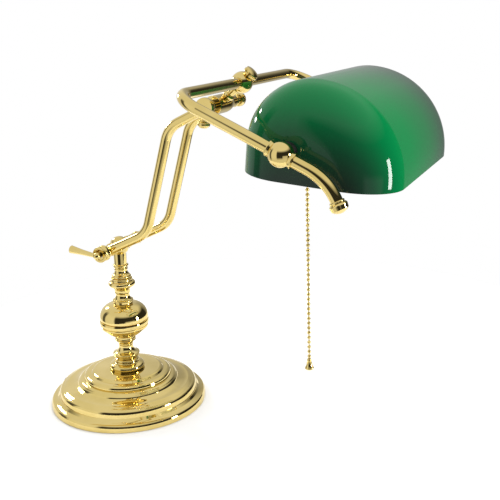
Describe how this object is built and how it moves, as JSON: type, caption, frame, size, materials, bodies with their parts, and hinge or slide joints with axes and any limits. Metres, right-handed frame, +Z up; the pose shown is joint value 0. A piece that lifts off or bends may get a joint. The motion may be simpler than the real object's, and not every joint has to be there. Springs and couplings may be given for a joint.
{
  "type": "banker desk lamp",
  "caption": "Polished brass banker desk lamp: stepped round base, turned stem, two S-bent arms with friction barrels, bent yoke, tilting green glass shade and pull chain.",
  "frame": {"origin": "centre of the base's flat underside, on the surface that the lamp stands on", "axes": "+Z up along the stem, +X the way the arms and the shade reach, +Y along the shade and both friction barrels"},
  "size_m": [0.3815, 0.2726, 0.3379],
  "materials": {
    "brass": "polished and lacquered",
    "green_glass": "cased glass, glossy green outside and white inside",
    "bulb_glass": "frosted",
    "cast_iron": "rough",
    "felt": "felt",
    "rubber": "matt",
    "bulb_cap": "satin",
    "insulator": "moulded",
    "steel": "zinc plated"
  },
  "bodies": {
    "stem": {"base_shell": "brass", "base_weight": "cast_iron", "base_felt": "felt", "cable_inlet_bush": "rubber", "stem_rod": "steel", "rod_washer": "steel", "rod_nut": "steel", "foot_collar": "brass", "lower_baluster": "brass", "stem_ball": "brass", "upper_neck": "brass", "torus_collar": "brass", "stem_capital": "brass", "stem_knuckle": "brass"},
    "arms": {"lower_spacer_near": "brass", "lower_spacer_far": "brass", "lower_bell_washer": "brass", "lower_cup_washer": "brass", "lower_far_sleeve": "brass", "lower_cap_nut": "brass", "lower_pivot_bolt": "steel", "arm_tube_near": "brass", "arm_tube_far": "brass", "upper_far_sleeve": "brass", "upper_far_cap": "brass", "upper_pivot_bolt": "steel"},
    "lower_lever": {"lower_clamp_lever": "brass"},
    "link": {"upper_barrel": "brass", "link_clamp": "brass"},
    "upper_lever": {"upper_clamp_lever": "brass"},
    "clamp_knob": {"clamp_screw": "brass"},
    "yoke": {"yoke_tube": "brass", "side_ball_near": "brass", "side_ball_far": "brass", "tail_near": "brass", "tail_far": "brass", "tail_button_near": "brass", "tail_button_far": "brass"},
    "shade": {"shade_nipple_near": "brass", "shade_nipple_far": "brass", "outer_washer_near": "rubber", "outer_washer_far": "rubber", "inner_washer_near": "rubber", "inner_washer_far": "rubber", "clamp_nut_near": "brass", "clamp_nut_far": "brass", "glass_shade": "green_glass", "lampholder_cap": "brass", "lampholder_shell": "brass", "lampholder_core": "insulator", "centre_contact": "brass", "switch_outlet_bell": "brass", "bulb_cap": "bulb_cap", "bulb_glass": "bulb_glass"},
    "pull": {"pull_rod": "steel"},
    "chain": {"pull_chain": "brass", "chain_pendant": "brass"}
  },
  "joints": [
    {"name": "arm_tilt", "type": "hinge", "parent": "stem", "child": "arms", "pos_m": [0, 0, 0.163], "axis": [0, 1, 0], "range_deg": [-25, 18]},
    {"name": "lower_lever_turn", "type": "hinge", "parent": "arms", "child": "lower_lever", "pos_m": [0, -0.04, 0.163], "axis": [0, 1, 0], "range_deg": [-35, 35]},
    {"name": "link_tilt", "type": "hinge", "parent": "arms", "child": "link", "pos_m": [0.11705, 0, 0.30498], "axis": [0, 1, 0], "range_deg": [-40, 40]},
    {"name": "upper_lever_turn", "type": "hinge", "parent": "arms", "child": "upper_lever", "pos_m": [0.11705, -0.03, 0.30498], "axis": [0, 1, 0], "range_deg": [-30, 30]},
    {"name": "yoke_tilt", "type": "hinge", "parent": "link", "child": "yoke", "pos_m": [0.13901, 0, 0.32393], "axis": [0, 1, 0], "range_deg": [-45, 35]},
    {"name": "clamp_screw_turn", "type": "hinge", "parent": "link", "child": "clamp_knob", "pos_m": [0.13901, 0, 0.32393], "axis": [0.757, 0, 0.6534], "range_deg": [-90, 90]},
    {"name": "shade_tilt", "type": "hinge", "parent": "yoke", "child": "shade", "pos_m": [0.22455, 0, 0.28331], "axis": [0, 1, 0], "range_deg": [-35, 50]},
    {"name": "switch_pull", "type": "slide", "parent": "shade", "child": "pull", "axis": [0, 0, -1], "range_m": [0, 0.008], "stiffness_N_per_m": 300, "springref_m": -0.003},
    {"name": "chain_swing", "type": "hinge", "parent": "pull", "child": "chain", "pos_m": [0.22455, -0.072, 0.25926], "axis": [0, 1, 0], "range_deg": [-50, 50]}
  ]
}
